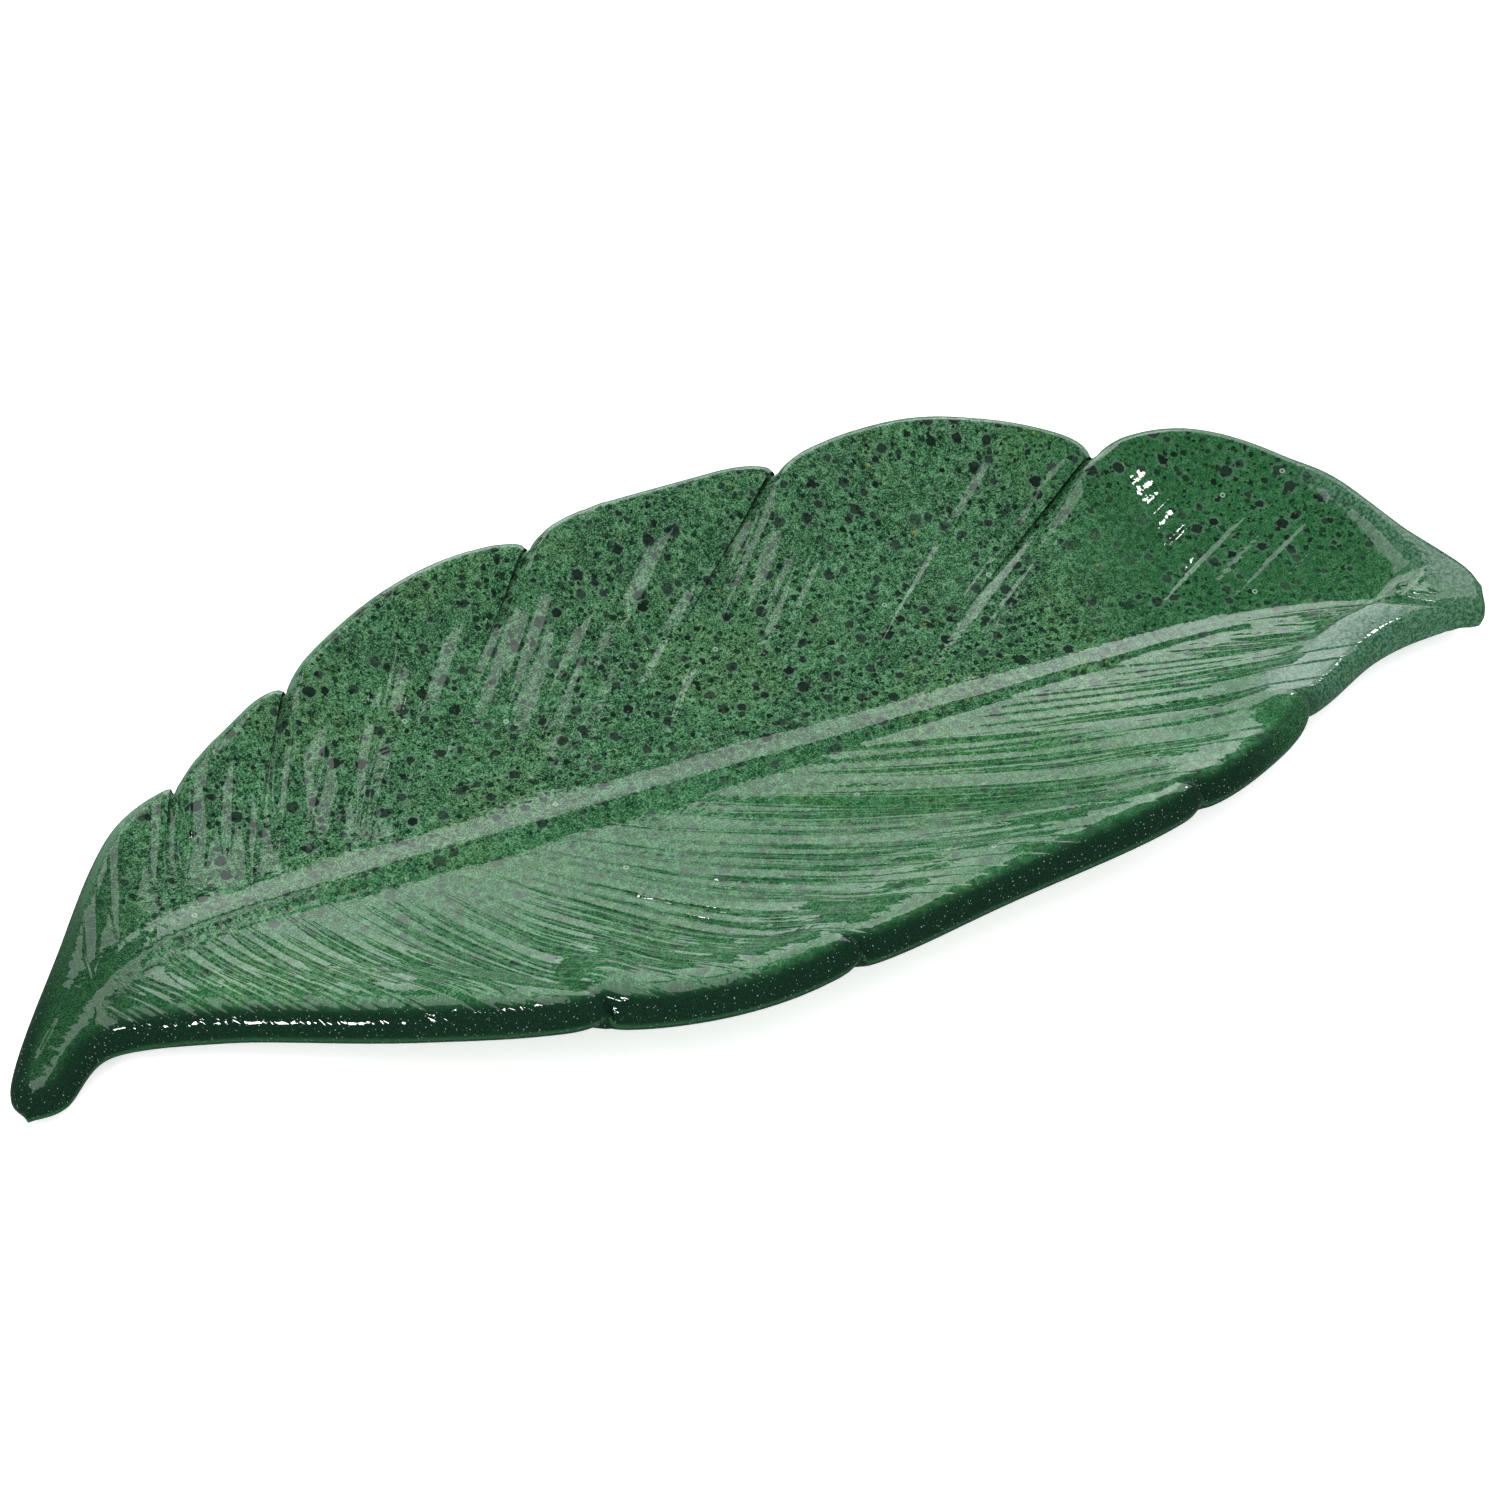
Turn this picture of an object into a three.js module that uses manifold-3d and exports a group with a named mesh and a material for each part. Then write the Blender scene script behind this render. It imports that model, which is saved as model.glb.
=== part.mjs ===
// Leaf dish: a shallow glazed ceramic leaf on an oval foot ring, with four stick-on pads under the ring.
// Millimetres. +X runs from the stem to the tip, +Y to the back edge, +Z up. The table is z = 0.

import * as THREE from 'three';
import { mergeVertices } from 'three/addons/utils/BufferGeometryUtils.js';
import Module from 'manifold-3d';

// Overall size in plan. What is drawn in plan below follows these two.
const LEAF_LENGTH = 455;
const LEAF_WIDTH = 197;
const DRAWN_LENGTH = 455; // sizes that the outline and midrib below are drawn at
const DRAWN_WIDTH = 197;

// Heights and wall
const FLOOR_HEIGHT = 13; // top of the floor beside the midrib
const WALL = 8; // upright thickness under the floor
const WALL_GAIN = 3; // added to that thickness where the wall turns up at the rim
const RIM_RISE = 19.2; // rim above the floor, at RIM_RISE_AT out from the midrib
const RIM_RISE_AT = 96;
const RIM_RISE_POWER = 1.6; // how fast the rim climbs as the leaf widens
const CLIMB_EVEN = 1.5; // midrib to rim, half of the climb follows this power of the share run
const CLIMB_LATE = 5; // and the other half this one

// Rim: a broad crest with a round lip, which opens into a flat band round the tip
const STEM_LIP_WIDTH = 9; // outline to where the lip starts to bend down, round the stem
const STEM_LIP_RANGE = [-200, -150]; // drawn x on the outline where that changes to the side's own width
const TIP_LIP_WIDTH = 4; // the same measure round the tip
const LIP_DROP = 7; // crest down to outline
const LIP_FULLNESS = 2.4; // section of the lip: 2 is a quarter of an ellipse, more is squarer
const CREST_ROUND = 6; // rounding where the inner slope meets the crest
const TIP_BAND_WIDTH = 15; // outline to the band's inner edge
const TIP_BAND_RISE = 5; // band above the floor
const TIP_BAND_ROUND = 1; // rounding of the band's inner edge
const TIP_CLIMB_EVEN = 0.6; // share of the climb to the band that is an even slope
const TIP_CLIMB_STEP = 12; // power of the share run that the rest, a step at the band's edge, follows
const TIP_FLOOR_END = 194; // drawn x on the midrib where the floor starts to climb to the band
const TIP_FLAT_START = 204; // drawn x on the midrib where all of the tip is flat

// Midrib: straight down the leaf, bent sideways at both ends; places and bends as drawn
const MIDRIB_Y = 4;
const STEM_BEND_START = -140;
const STEM_BEND_SPAN = 80;
const STEM_BEND_SIDE = 43; // sideways reach at the end of that span
const TIP_BEND_START = 130;
const TIP_BEND_SPAN = 90;
const TIP_BEND_SIDE = 20;
const RIB_STEEPNESS = 0.16; // height for each unit of half width
const RIB_HALF_WIDTH_AT_STEM = 8.5;
const RIB_HALF_WIDTH_AT_TIP = 4.5;

// Lobes and barbs
const CREASE = 2; // the step between two lobes comes down over this much of the outline
const LOBE_SHOULDER = 14; // past the crease, a lobe with a shoulder climbs over this much of the outline
const TIP_LOBE_FALL = 0.3; // share of its edge after which the last lobe's step falls away to the tip
const END_FADE = 2; // fade of the step at both ends of the leaf, as at a notch below
const BARB_PITCH = 12; // along the midrib
const BARB_SWEEP = new THREE.Vector2(0.42, 0.58); // bend of a barb: it leaves steeply, then runs to the tip
const BARB_RISE = [0.1, 0.3]; // shares of the way from midrib to rim where a barb rises from the floor
const BARB_FALL = [0.75, 0.95]; // and where it fades out below the rim

// Outline of each side as drawn, stem end to tip end: x, y, and the x on the midrib that its barb starts
// from. The lip's and the crest's widths are measured in from the outline. Between two drawn x on the
// outline the crest's inner edge becomes crisp, and between two others the crest widens to the tip's band.
// Each lobe's tip-side rim stands a step above the next lobe. A lobe climbs its shoulder's share of the step
// just past the crease, and the rest along its edge. A notch lies at a place counted in outline points, cut
// in by its depth. The outline falls into it over the nose and climbs out over the shoulder, both measured
// along the edge. From rim to midrib, the step there dies away by the fade's power.
const BACK_EDGE = {
  outward: 1,
  lipWidth: 5,
  crestWidth: 7,
  crisp: [198, 212],
  widening: [214, 230],
  barbHeight: 0.6,
  lobeStep: 3.5,
  shoulderShare: 0.6,
  points: [
    [-223, -41, -216], [-224, -28, -213], [-202, 9, -204], [-178, 42.5, -190], [-151, 57, -168],
    [-113, 78, -143], [-74, 96, -122], [-20, 103, -94], [40, 103, -50], [92, 104, -2],
    [132, 90, 34], [176, 75, 74], [205, 48.5, 128], [221, 15, 184], [229, -3, 206], [230, -13, 212],
  ],
  notches: [
    { at: 3.8, depth: 3.5, nose: 25, shoulder: 20, fade: 4 },
    { at: 4.87, depth: 5, nose: 13, shoulder: 20, fade: 4 },
    { at: 6.76, depth: 7.5, nose: 35, shoulder: 28, fade: 4 },
    { at: 8.12, depth: 6, nose: 18, shoulder: 28, fade: 4 },
    { at: 10.3, depth: 13, nose: 30, shoulder: 45, fade: 1.5 },
  ],
};
const FRONT_EDGE = {
  outward: -1,
  lipWidth: 9,
  crestWidth: 13,
  crisp: [150, 168],
  widening: [160, 205],
  barbHeight: 0.3,
  lobeStep: 5,
  shoulderShare: 0,
  points: [
    [-223, -41, -216], [-212, -40, -213], [-196, -28, -203], [-168, -37, -188], [-121, -63, -158],
    [-79, -82, -132], [-25, -93, -100], [40, -80, -82], [101, -71, -58], [146, -51, -12],
    [185, -26, 52], [214, -20.5, 176], [225, -22, 206], [230, -13, 212],
  ],
  notches: [
    { at: 5.1, depth: 5, nose: 12, shoulder: 60, fade: 2 },
    { at: 6.36, depth: 4.5, nose: 10, shoulder: 45, fade: 2 },
    { at: 8.22, depth: 5.5, nose: 11, shoulder: 42, fade: 2 },
    { at: 9.35, depth: 5.5, nose: 20, shoulder: 28, fade: 2 },
  ],
};

// Foot ring and pads
const FOOT_LENGTH = 200;
const FOOT_WIDTH = 88;
const FOOT_RING_WIDTH = 12;
const FOOT_X = 9; // centre of the ring, under the leaf's balance point
const FOOT_Y = 8;
const FOOT_COVER = 2; // the ring's root stops this far under the upper surface
const PAD_DIAMETER = 10;
const PAD_THICKNESS = 2;
const PAD_EDGE = 0.4; // bevel round a pad's lower edge
const PAD_ANGLE = 40; // degrees from the ring's long axis
const GLUE = 0.3; // glue film between pad and ring

// Mesh fineness
const LINE_SPACING = 4.4; // between barb lines along the outline
const FLOOR_RINGS = [0, 0.1, 0.22, 0.38, 0.55, 0.72, 0.88, 1]; // midrib to lip
const LIP_RINGS = [0.3, 0.6, 0.85, 1]; // lip crest to outline
const UNDER_LIP_RINGS = [0.75, 0]; // outline back to the wall
const UNDER_RINGS = [0.78, 0.55, 0.3, 0]; // wall to the midrib
const LIP_RINGS_REACH = 1.5; // the lip's rings start this many lip widths in along a barb line
const LIP_RINGS_LIMIT = 0.6; // and at most this share of the line
const FOOT_SEGMENTS = 48;
const PAD_SEGMENTS = 32;

const FOOT_BASE = PAD_THICKNESS + GLUE;
const { clamp, lerp, smoothstep, degToRad } = THREE.MathUtils;

// Plan curves

const STRETCH_X = LEAF_LENGTH / DRAWN_LENGTH;
const STRETCH_Y = LEAF_WIDTH / DRAWN_WIDTH;
const drawnX = (point) => point.x / STRETCH_X;

function midribY(x) {
  const drawn = x / STRETCH_X;
  const stem = Math.max(0, (STEM_BEND_START - drawn) / STEM_BEND_SPAN);
  const tip = Math.max(0, (drawn - TIP_BEND_START) / TIP_BEND_SPAN);
  return STRETCH_Y * (MIDRIB_Y - STEM_BEND_SIDE * stem ** 3 - TIP_BEND_SIDE * tip ** 2);
}

// Sideways distance from the midrib, square to it
function fromMidrib(point) {
  const reach = 0.5;
  const slope = (midribY(point.x + reach) - midribY(point.x - reach)) / (2 * reach);
  return Math.abs(point.y - midribY(point.x)) / Math.hypot(1, slope);
}

// One at a notch, falling to nothing at the end of its reach like a quarter of an ellipse
function quarterRound(distance, reach) {
  const near = clamp(1 - distance / reach, 0, 1);
  return 1 - Math.sqrt(1 - near * near);
}

function distanceToPath(point, path) {
  const along = new THREE.Vector2();
  const gap = new THREE.Vector2();
  let nearest = Infinity;
  for (let i = 1; i < path.length; i++) {
    along.subVectors(path[i], path[i - 1]);
    gap.subVectors(point, path[i - 1]);
    const share = clamp(gap.dot(along) / along.lengthSq(), 0, 1);
    nearest = Math.min(nearest, gap.addScaledVector(along, -share).length());
  }
  return nearest;
}

// Share of a lobe's step at a run along its edge: a crease, a shoulder past it, then a slow climb to the
// next crease. The first lobe has no shoulder, and the last one falls to the tip instead.
function stepShare(run, length, shoulderShare, isFirst, isLast) {
  const share = run / length;
  if (isFirst) return share ** 2;
  const shoulder = shoulderShare * smoothstep(run, CREASE, LOBE_SHOULDER);
  const rest = isLast ? 1 - smoothstep(share, TIP_LOBE_FALL, 1) : 1;
  const climb = isLast ? 0 : (1 - shoulderShare) * share ** 2;
  return shoulder * rest + climb;
}

// Barb lines of one side: the outline point, the midrib point, and the heights of the lobe's step and barb
function barbLines(edge) {
  const controls = edge.points.map(
    ([x, y, foot]) => new THREE.Vector3(x * STRETCH_X, y * STRETCH_Y, foot * STRETCH_X),
  );
  const curve = new THREE.CatmullRomCurve3(controls, false, 'catmullrom', 0.5);
  const last = controls.length - 1;
  const stops = [
    { at: 0, depth: 0, shoulder: 1, fade: END_FADE },
    ...edge.notches,
    { at: last, depth: 0, nose: 1, fade: END_FADE },
  ];
  const lines = [];
  for (let lobe = 0; lobe + 1 < stops.length; lobe++) {
    const from = stops[lobe];
    const to = stops[lobe + 1];
    const isFirst = lobe === 0;
    const isLast = lobe + 2 === stops.length;
    const place = placesByLength(curve, from.at / last, to.at / last);
    const start = isFirst ? 0 : CREASE;
    const count = Math.max(3, Math.round((place.length - start) / LINE_SPACING));
    for (let i = 0; i <= count; i++) {
      const run = start + ((place.length - start) * i) / count;
      const t = place.at(run);
      const spot = curve.getPoint(t);
      const tangent = curve.getTangent(t);
      const outward = new THREE.Vector2(-tangent.y, tangent.x).normalize().multiplyScalar(edge.outward);
      const left = place.length - run;
      const dip = from.depth * quarterRound(run, from.shoulder) + to.depth * quarterRound(left, to.nose);
      const wave = 0.5 - 0.5 * Math.cos((2 * Math.PI * spot.z) / BARB_PITCH);
      lines.push({
        rim: new THREE.Vector2(spot.x, spot.y).addScaledVector(outward, -dip),
        foot: new THREE.Vector2(spot.z, midribY(spot.z)),
        step: edge.lobeStep * stepShare(run, place.length, edge.shoulderShare, isFirst, isLast),
        fade: lerp(from.fade, to.fade, smoothstep(run, 0, place.length)),
        barb: edge.barbHeight * wave,
      });
    }
  }
  return lines;
}

// Places on a stretch of a curve by the length run along it in plan
function placesByLength(curve, from, to) {
  const pieces = 80;
  const runs = [0];
  let previous = curve.getPoint(from);
  for (let i = 1; i <= pieces; i++) {
    const next = curve.getPoint(lerp(from, to, i / pieces));
    runs.push(runs[i - 1] + Math.hypot(next.x - previous.x, next.y - previous.y));
    previous = next;
  }
  const at = (run) => {
    const passed = runs.filter((end) => end < run).length;
    const i = clamp(passed, 1, pieces);
    return lerp(from, to, (i - 1 + (run - runs[i - 1]) / (runs[i] - runs[i - 1])) / pieces);
  };
  return { length: runs[pieces], at };
}

function barbPoint(line, share) {
  const span = new THREE.Vector2().subVectors(line.rim, line.foot);
  const bend = line.foot.clone().add(span.clone().multiply(BARB_SWEEP));
  return new THREE.QuadraticBezierCurve(line.foot, bend, line.rim).getPoint(share);
}

// Surface heights

function addRimSizes(edge, lines, outline, midrib) {
  for (const line of lines) {
    const climb = RIM_RISE * (distanceToPath(line.rim, midrib) / RIM_RISE_AT) ** RIM_RISE_POWER;
    const wide = smoothstep(drawnX(line.rim), ...edge.widening);
    line.crisp = smoothstep(drawnX(line.rim), ...edge.crisp);
    const flat = smoothstep(drawnX(line.foot), TIP_FLOOR_END, TIP_FLAT_START);
    line.floor = FLOOR_HEIGHT + TIP_BAND_RISE * flat;
    line.crest = FLOOR_HEIGHT + Math.hypot(climb, TIP_BAND_RISE * Math.sqrt(line.crisp));
    const sideLip = lerp(STEM_LIP_WIDTH, edge.lipWidth, smoothstep(drawnX(line.rim), ...STEM_LIP_RANGE));
    line.lipWidth = lerp(sideLip, TIP_LIP_WIDTH, line.crisp);
    line.crestWidth = lerp(edge.crestWidth, TIP_BAND_WIDTH, wide);
    line.crestRound = lerp(CREST_ROUND, TIP_BAND_ROUND, line.crisp);
    line.halfWidth = distanceToPath(line.foot, outline);
    const length = line.rim.distanceTo(line.foot);
    line.lipShare = Math.min((LIP_RINGS_REACH * line.crestWidth) / length, LIP_RINGS_LIMIT);
  }
}

function heightsAt(point, line, outline, wholeOutline) {
  const inset = distanceToPath(point, outline) - line.crestWidth;
  const inside = (inset + Math.hypot(inset, line.crestRound)) / 2;
  const span = Math.max(line.halfWidth - line.crestWidth, 1);
  const out = clamp(1 - inside / span, 0, 1);
  const bowl = (out ** CLIMB_EVEN + out ** CLIMB_LATE) / 2;
  const recess = lerp(out ** TIP_CLIMB_STEP, out, TIP_CLIMB_EVEN);
  const turn = lerp(bowl, recess, line.crisp);
  const sheet = line.floor + (line.crest - line.floor) * turn + line.step * out ** line.fade;

  const along = smoothstep(drawnX(point), STEM_BEND_START - STEM_BEND_SPAN, TIP_FLAT_START);
  const ribHalf = lerp(RIB_HALF_WIDTH_AT_STEM, RIB_HALF_WIDTH_AT_TIP, along);
  const ribSide = 0.5 + 0.5 * Math.cos(Math.PI * Math.min(fromMidrib(point) / ribHalf, 1));
  const ribEnd = 1 - smoothstep(drawnX(point), TIP_FLOOR_END, TIP_FLAT_START);
  const rib = RIB_STEEPNESS * ribHalf * ribSide * ribEnd;

  const barb = line.barb * smoothstep(out, ...BARB_RISE) * (1 - smoothstep(out, ...BARB_FALL));

  const edge = clamp(distanceToPath(point, wholeOutline) / line.lipWidth, 0, 1);
  const round = (1 - (1 - edge) ** LIP_FULLNESS) ** (1 / LIP_FULLNESS);
  const top = sheet + rib + barb - LIP_DROP * (1 - round);
  const equator = sheet + rib - LIP_DROP;
  const wallUnder = sheet - WALL - WALL_GAIN * out ** 2;
  return { top, under: lerp(equator, wallUnder, round) };
}

// Leaf solid

// A closed solid over the barb lines. The layers function picks its upper and lower heights.
function leafGeometry(layers) {
  const backLines = barbLines(BACK_EDGE);
  const frontLines = barbLines(FRONT_EDGE);
  const backOutline = backLines.map((line) => line.rim);
  const frontOutline = frontLines.map((line) => line.rim);
  const wholeOutline = [...backOutline, ...frontOutline.slice(0, -1).reverse()];
  const midrib = backLines.map((line) => line.foot);
  addRimSizes(BACK_EDGE, backLines, backOutline, midrib);
  addRimSizes(FRONT_EDGE, frontLines, frontOutline, midrib);

  const positions = [];
  const triangles = [];
  const addVertex = (point, z) => positions.push(point.x, point.y, z) / 3 - 1;

  // Vertex numbers of one barb line, over the top from the midrib to the rim and back underneath
  const lineVertices = (line, outline) => {
    const lipStart = 1 - line.lipShare;
    const floorShares = FLOOR_RINGS.map((ring) => ring * lipStart);
    const lipShares = LIP_RINGS.map((ring) => lipStart + ring * line.lipShare);
    const underShares = [
      ...UNDER_LIP_RINGS.map((ring) => lipStart + ring * line.lipShare),
      ...UNDER_RINGS.map((ring) => ring * lipStart),
    ];
    const vertexAt = (share, layer) => {
      const point = barbPoint(line, share);
      const heights = layers(heightsAt(point, line, outline, wholeOutline));
      return addVertex(point, heights[layer]);
    };
    return [
      ...[...floorShares, ...lipShares].map((share) => vertexAt(share, 'top')),
      ...underShares.map((share) => vertexAt(share, 'under')),
    ];
  };

  const backVertices = backLines.map((line) => lineVertices(line, backOutline));
  const frontVertices = frontLines.map((line, i) => {
    if (i === 0) return backVertices[0];
    if (i === frontLines.length - 1) return backVertices[backVertices.length - 1];
    return lineVertices(line, frontOutline);
  });
  const ringCount = backVertices[0].length;

  const strip = (vertices, fromRing, toRing, flip) => {
    for (let i = 0; i + 1 < vertices.length; i++) {
      for (let ring = fromRing; ring < toRing; ring++) {
        const [a, b] = [vertices[i][ring], vertices[i][ring + 1]];
        const [c, d] = [vertices[i + 1][ring + 1], vertices[i + 1][ring]];
        triangles.push(...(flip ? [a, b, c, a, c, d] : [a, c, b, a, d, c]));
      }
    }
  };
  strip(backVertices, 0, ringCount - 1, false);
  strip(frontVertices, 1, ringCount - 2, true);

  // Along the midrib the front lines end one ring short and are laced to the back lines' midrib points
  const lace = (left, right) => {
    let i = 0;
    let j = 0;
    const apart = (a, b) =>
      Math.hypot(positions[3 * a] - positions[3 * b], positions[3 * a + 1] - positions[3 * b + 1]);
    while (i + 1 < left.length || j + 1 < right.length) {
      const leftNext = i + 1 < left.length ? apart(left[i + 1], right[j]) : Infinity;
      const rightNext = j + 1 < right.length ? apart(left[i], right[j + 1]) : Infinity;
      if (leftNext <= rightNext) {
        triangles.push(left[i], right[j], left[i + 1]);
        i += 1;
      } else {
        triangles.push(left[i], right[j], right[j + 1]);
        j += 1;
      }
    }
  };
  lace(backVertices.map((line) => line[0]), frontVertices.map((line) => line[1]));
  lace(frontVertices.map((line) => line[ringCount - 2]), backVertices.map((line) => line[ringCount - 1]));

  const geometry = new THREE.BufferGeometry();
  geometry.setAttribute('position', new THREE.Float32BufferAttribute(positions, 3));
  geometry.setIndex(triangles);
  return geometry;
}

// Foot ring and pads

function footEllipse(path, inset) {
  const halfLength = FOOT_LENGTH / 2 - inset;
  const halfWidth = FOOT_WIDTH / 2 - inset;
  return path.absellipse(FOOT_X, FOOT_Y, halfLength, halfWidth, 0, 2 * Math.PI, false, 0);
}

// An oval wall from the foot's underside to above the rim, to be cut off inside the leaf
function footWallGeometry() {
  const shape = footEllipse(new THREE.Shape(), 0);
  shape.holes.push(footEllipse(new THREE.Path(), FOOT_RING_WIDTH));
  const settings = { depth: FLOOR_HEIGHT + RIM_RISE, bevelEnabled: false, curveSegments: FOOT_SEGMENTS };
  return new THREE.ExtrudeGeometry(shape, settings).translate(0, 0, FOOT_BASE);
}

function padGeometry() {
  const radius = PAD_DIAMETER / 2;
  const profile = [
    new THREE.Vector2(0, 0),
    new THREE.Vector2(radius - PAD_EDGE, 0),
    new THREE.Vector2(radius, PAD_EDGE),
    new THREE.Vector2(radius, PAD_THICKNESS),
    new THREE.Vector2(0, PAD_THICKNESS),
  ];
  return new THREE.LatheGeometry(profile, PAD_SEGMENTS).rotateX(Math.PI / 2);
}

function padPlace(towardsTip, towardsBack) {
  const angle = degToRad(PAD_ANGLE);
  const x = ((FOOT_LENGTH - FOOT_RING_WIDTH) / 2) * Math.cos(angle);
  const y = ((FOOT_WIDTH - FOOT_RING_WIDTH) / 2) * Math.sin(angle);
  return new THREE.Vector3(FOOT_X + towardsTip * x, FOOT_Y + towardsBack * y, 0);
}

// Joining solids

const wasm = await Module();
wasm.setup();

function toManifold(geometry) {
  const bare = geometry.clone();
  bare.deleteAttribute('normal');
  bare.deleteAttribute('uv');
  const merged = mergeVertices(bare, 1e-5);
  return new wasm.Manifold(
    new wasm.Mesh({
      numProp: 3,
      vertProperties: new Float32Array(merged.attributes.position.array),
      triVerts: new Uint32Array(merged.index.array),
    }),
  );
}

function toGeometry(manifold) {
  const mesh = manifold.getMesh();
  const geometry = new THREE.BufferGeometry();
  geometry.setAttribute('position', new THREE.BufferAttribute(mesh.vertProperties, 3));
  geometry.setIndex(new THREE.BufferAttribute(mesh.triVerts, 1));
  geometry.computeVertexNormals();
  return geometry;
}

// Assembly

const glaze = new THREE.MeshStandardMaterial({ color: 0x3f6f4c, roughness: 0.12, metalness: 0 });
const rubber = new THREE.MeshStandardMaterial({ color: 0x464644, roughness: 0.8, metalness: 0 });

const leaf = toManifold(leafGeometry((heights) => heights));
const underTop = toManifold(leafGeometry(({ top }) => ({ top: top - FOOT_COVER, under: FOOT_BASE })));
const footRing = toManifold(footWallGeometry()).intersect(underTop);
const body = toGeometry(leaf.add(footRing));
body.computeBoundingBox();
const centre = body.boundingBox.getCenter(new THREE.Vector3());

const dish = new THREE.Group();
dish.position.set(-centre.x, -centre.y, 0);

const leafBody = new THREE.Mesh(body, glaze);
leafBody.name = 'leaf_body';
dish.add(leafBody);

const PADS = [
  ['pad_stem_back', -1, 1],
  ['pad_stem_front', -1, -1],
  ['pad_tip_back', 1, 1],
  ['pad_tip_front', 1, -1],
];
for (const [name, towardsTip, towardsBack] of PADS) {
  const pad = new THREE.Mesh(padGeometry(), rubber);
  pad.name = name;
  pad.position.copy(padPlace(towardsTip, towardsBack));
  dish.add(pad);
}

export default dish;
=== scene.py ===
"""Looks of the leaf dish: a carved, glazed ceramic leaf on rubber pads, on a pale studio floor."""

import math

import bpy
import numpy as np
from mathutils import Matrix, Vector, kdtree


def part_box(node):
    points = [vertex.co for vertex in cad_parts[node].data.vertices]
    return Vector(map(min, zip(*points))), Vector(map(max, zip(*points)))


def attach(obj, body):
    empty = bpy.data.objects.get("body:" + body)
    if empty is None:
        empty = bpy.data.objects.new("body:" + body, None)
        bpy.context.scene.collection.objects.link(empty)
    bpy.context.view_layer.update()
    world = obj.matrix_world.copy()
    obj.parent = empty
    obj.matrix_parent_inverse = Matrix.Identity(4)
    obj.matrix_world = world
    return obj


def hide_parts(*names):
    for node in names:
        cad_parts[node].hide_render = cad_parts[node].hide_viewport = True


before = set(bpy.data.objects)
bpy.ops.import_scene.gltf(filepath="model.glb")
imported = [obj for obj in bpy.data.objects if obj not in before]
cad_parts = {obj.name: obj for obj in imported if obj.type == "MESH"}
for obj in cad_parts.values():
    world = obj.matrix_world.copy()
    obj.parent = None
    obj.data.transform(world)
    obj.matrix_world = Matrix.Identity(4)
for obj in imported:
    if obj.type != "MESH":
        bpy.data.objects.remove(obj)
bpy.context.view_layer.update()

MM = 0.001

# Sizes of the leaf, in millimetres; its outline and heights follow the part's source
FLOOR_HEIGHT = 13
WALL = 8
WALL_GAIN = 3
RIM_RISE = 19.2
RIM_RISE_AT = 96
RIM_RISE_POWER = 1.6
STEM_LIP_WIDTH = 9
STEM_LIP_RANGE = (-200, -150)
TIP_LIP_WIDTH = 4
LIP_DROP = 7
LIP_FULLNESS = 2.4
CREST_ROUND = 6
BOWL_POWERS = (1.5, 5)  # the trough's climb is the mean of these two powers of the way out
TIP_BAND_WIDTH = 15
TIP_BAND_RISE = 5
TIP_BAND_ROUND = 1
TIP_CLIMB_EVEN = 0.6
TIP_CLIMB_STEP = 12
TIP_FLOOR_END = 194
TIP_FLAT_START = 204
MIDRIB_Y = 4
STEM_BEND_START = -140
STEM_BEND_SPAN = 80
STEM_BEND_SIDE = 43
TIP_BEND_START = 130
TIP_BEND_SPAN = 90
TIP_BEND_SIDE = 20
RIB_STEEPNESS = 0.16
RIB_HALF_WIDTH_AT_STEM = 8.5
RIB_HALF_WIDTH_AT_TIP = 4.5
STEM_RIB_RANGE = (-222, -175)  # the rib dies away over this much of the stem
CREASE = 2
LOBE_SHOULDER = 14
LAST_LOBE_FADE = (0.3, 1)  # shares of the last lobe over which its shoulder dies away
END_FADE = 2
BARB_PITCH = 12
BARB_SWEEP = np.array((0.42, 0.58))
# Shares of the way out, from the midrib to the crest
BARB_GROWTH = (0.1, 0.3)
BARB_FADE = (0.75, 0.95)
CREASE_SHADE_GROWTH = (0.45, 1)
BAND_GROWTH = (0.93, 0.995)
CREASE_SHADE_WIDTH = 6  # reach of the painted shade behind a crease
# For each side: an outline point is x, y and the x where its barb leaves the midrib. A notch is its place,
# counted in points, its depth, the lengths of the nose before it and the shoulder past it, and its fade.
BACK_EDGE = {
    "outward": 1,
    "lip_width": 5,
    "crest_width": 7,
    "crisp": (198, 212),
    "widening": (214, 230),
    "barb_height": 0.25,
    "lobe_step": 3.5,
    "shoulder_share": 0.6,
    "points": [
        (-223, -41, -216), (-224, -28, -213), (-202, 9, -204), (-178, 42.5, -190), (-151, 57, -168),
        (-113, 78, -143), (-74, 96, -122), (-20, 103, -94), (40, 103, -50), (92, 104, -2),
        (132, 90, 34), (176, 75, 74), (205, 48.5, 128), (221, 15, 184), (229, -3, 206), (230, -13, 212),
    ],
    "notches": [
        (3.8, 3.5, 25, 20, 4), (4.87, 5, 13, 20, 4), (6.76, 7.5, 35, 28, 4), (8.12, 6, 18, 28, 4),
        (10.3, 13, 30, 45, 1.5),
    ],
}
FRONT_EDGE = {
    "outward": -1,
    "lip_width": 9,
    "crest_width": 13,
    "crisp": (150, 168),
    "widening": (160, 205),
    "barb_height": 0.12,
    "lobe_step": 5,
    "shoulder_share": 0,
    "points": [
        (-223, -41, -216), (-212, -40, -213), (-196, -28, -203), (-168, -37, -188), (-121, -63, -158),
        (-79, -82, -132), (-25, -93, -100), (40, -80, -82), (101, -71, -58), (146, -51, -12),
        (185, -26, 52), (214, -20.5, 176), (225, -22, 206), (230, -13, 212),
    ],
    "notches": [
        (5.1, 5, 12, 60, 2), (6.36, 4.5, 10, 45, 2), (8.22, 5.5, 11, 42, 2), (9.35, 5.5, 20, 28, 2),
    ],
}
FOOT_LENGTH = 200
FOOT_WIDTH = 88
FOOT_RING_WIDTH = 12
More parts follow.
